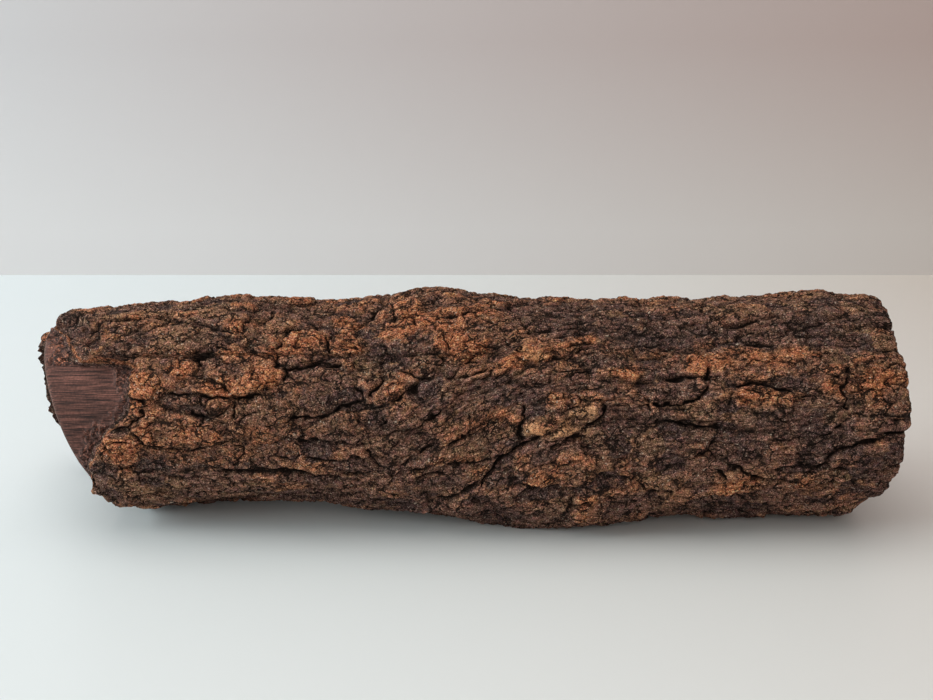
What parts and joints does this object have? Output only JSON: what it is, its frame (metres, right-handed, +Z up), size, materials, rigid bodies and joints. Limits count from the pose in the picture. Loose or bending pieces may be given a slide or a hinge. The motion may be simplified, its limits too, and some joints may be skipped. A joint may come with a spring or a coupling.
{
  "type": "tree trunk",
  "caption": "Short length of tree trunk lying on its side, with thick, deeply cracked bark round it and bare wood at its slanting cut end.",
  "frame": {"origin": "on the surface it lies on, under the middle of its length and width", "axes": "+X along the trunk, from its slanting, broken end to its square one; +Y to the back; +Z up"},
  "size_m": [0.403, 0.1056, 0.105],
  "materials": {
    "bark": "matt, dry, cracked brown bark with orange-brown patches"
  },
  "bodies": {
    "root": {"trunk": "bark"}
  },
  "joints": []
}
